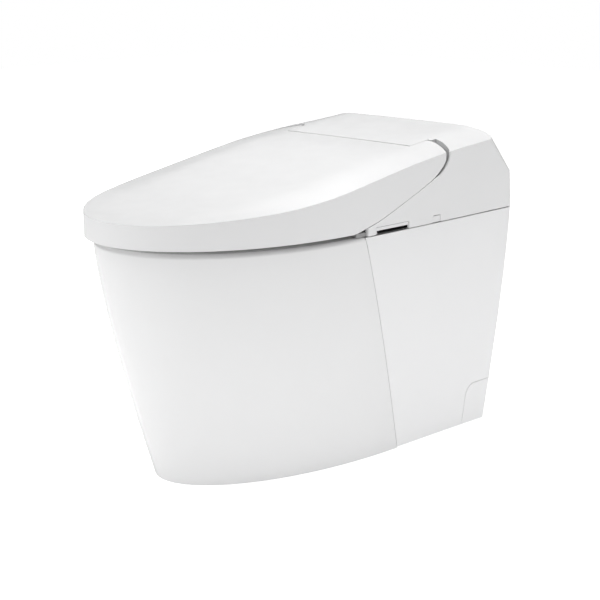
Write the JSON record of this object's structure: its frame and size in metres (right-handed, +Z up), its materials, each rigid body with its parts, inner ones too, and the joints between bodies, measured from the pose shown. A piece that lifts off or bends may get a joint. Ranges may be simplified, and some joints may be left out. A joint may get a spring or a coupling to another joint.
{
  "type": "smart toilet with heated seat",
  "caption": "Floor-standing one-piece smart toilet with skirted ceramic bowl, heated seat, soft-close lid, washing wand, dryer and deodoriser.",
  "frame": {"origin": "middle of the footprint box, on the floor", "axes": "+Z up, -Y to the front of the toilet, +X to the side with the filter slot"},
  "size_m": [0.392, 0.7, 0.501],
  "materials": {
    "glaze": "glossy white glaze",
    "shell": "glossy white moulded plastic",
    "cover": "satin-gloss white side panel",
    "seat": "smooth white seat plastic",
    "liner": "fine-textured white inner plastic",
    "grey_trim": "mid-grey moulded trim",
    "dark_trim": "near-black moulded plastic",
    "window": "smoked sensor window",
    "rubber": "grey elastomer",
    "steel": "brushed stainless steel",
    "foil": "heater foil",
    "brass": "machined brass",
    "pcb": "green board with parts",
    "hose": "grey hose",
    "tank": "blow-moulded natural plastic"
  },
  "bodies": {
    "toilet": {"ceramic_bowl": "glaze", "outlet_seal": "rubber", "side_cover_right": "cover", "side_cover_left": "cover", "corner_plate_right": "cover", "corner_plate_left": "cover", "cover_clips": "grey_trim", "top_cover": "shell", "status_window": "window", "unit_base": "liner", "release_spring": "steel", "spring_post": "liner", "wand_housing": "grey_trim", "wand_motor": "steel", "dryer_fan_housing": "grey_trim", "dryer_duct": "grey_trim", "deodoriser_fan_housing": "grey_trim", "hinge_pins": "steel", "hinge_dampers": "dark_trim", "control_board": "pcb", "power_supply": "steel", "heat_exchanger": "steel", "inlet_valve": "dark_trim", "unit_bracket": "steel", "unit_screws": "steel", "reservoir_tank": "tank", "flush_pump": "dark_trim", "jet_pipe": "hose", "supply_elbow": "brass", "supply_hose": "steel", "service_panel": "steel", "cable_gland": "dark_trim", "cover_screws": "steel"},
    "seat": {"seat_top": "seat", "seat_base": "seat", "seat_heater": "foil", "seat_bumpers": "rubber"},
    "lid": {"lid_cover": "shell", "lid_liner": "liner", "lid_bumpers": "rubber"},
    "wand": {"wand_tube": "steel", "wand_tip": "liner", "wand_cap": "liner"},
    "dryer_rotor": {"dryer_fan_rotor": "dark_trim"},
    "deodoriser_rotor": {"deodoriser_fan_rotor": "dark_trim"},
    "flap": {"dryer_flap": "liner"},
    "filter": {"filter_face": "shell", "filter_cartridge": "dark_trim"},
    "tab": {"release_tab": "shell"}
  },
  "joints": [
    {"name": "seat_hinge", "type": "hinge", "parent": "toilet", "child": "seat", "pos_m": [0, 0.139, 0.471], "axis": [-1, 0, 0], "range_deg": [0, 92]},
    {"name": "lid_hinge", "type": "hinge", "parent": "seat", "child": "lid", "pos_m": [0, 0.139, 0.471], "axis": [1, 0, 0], "range_deg": [-96, 0]},
    {"name": "wand_slide", "type": "slide", "parent": "toilet", "child": "wand", "axis": [0, -0.866, -0.5], "range_m": [0, 0.08]},
    {"name": "dryer_flap_hinge", "type": "hinge", "parent": "toilet", "child": "flap", "pos_m": [-0.051, -0.0106, 0.3606], "axis": [-1, 0, 0], "range_deg": [0, 75]},
    {"name": "filter_slide", "type": "slide", "parent": "toilet", "child": "filter", "axis": [1, 0, 0], "range_m": [0, 0.06]},
    {"name": "release_tab_press", "type": "slide", "parent": "toilet", "child": "tab", "axis": [-1, 0, 0], "range_m": [0, 0.003], "stiffness_N_per_m": 600, "deforming": ["release_spring"]},
    {"name": "dryer_fan_spin", "type": "hinge", "parent": "toilet", "child": "dryer_rotor", "pos_m": [-0.078, 0.1, 0.39], "axis": [0, 0, 1], "continuous": true},
    {"name": "deodoriser_fan_spin", "type": "hinge", "parent": "toilet", "child": "deodoriser_rotor", "pos_m": [0.074, 0.1, 0.39], "axis": [0, 0, 1], "continuous": true}
  ]
}
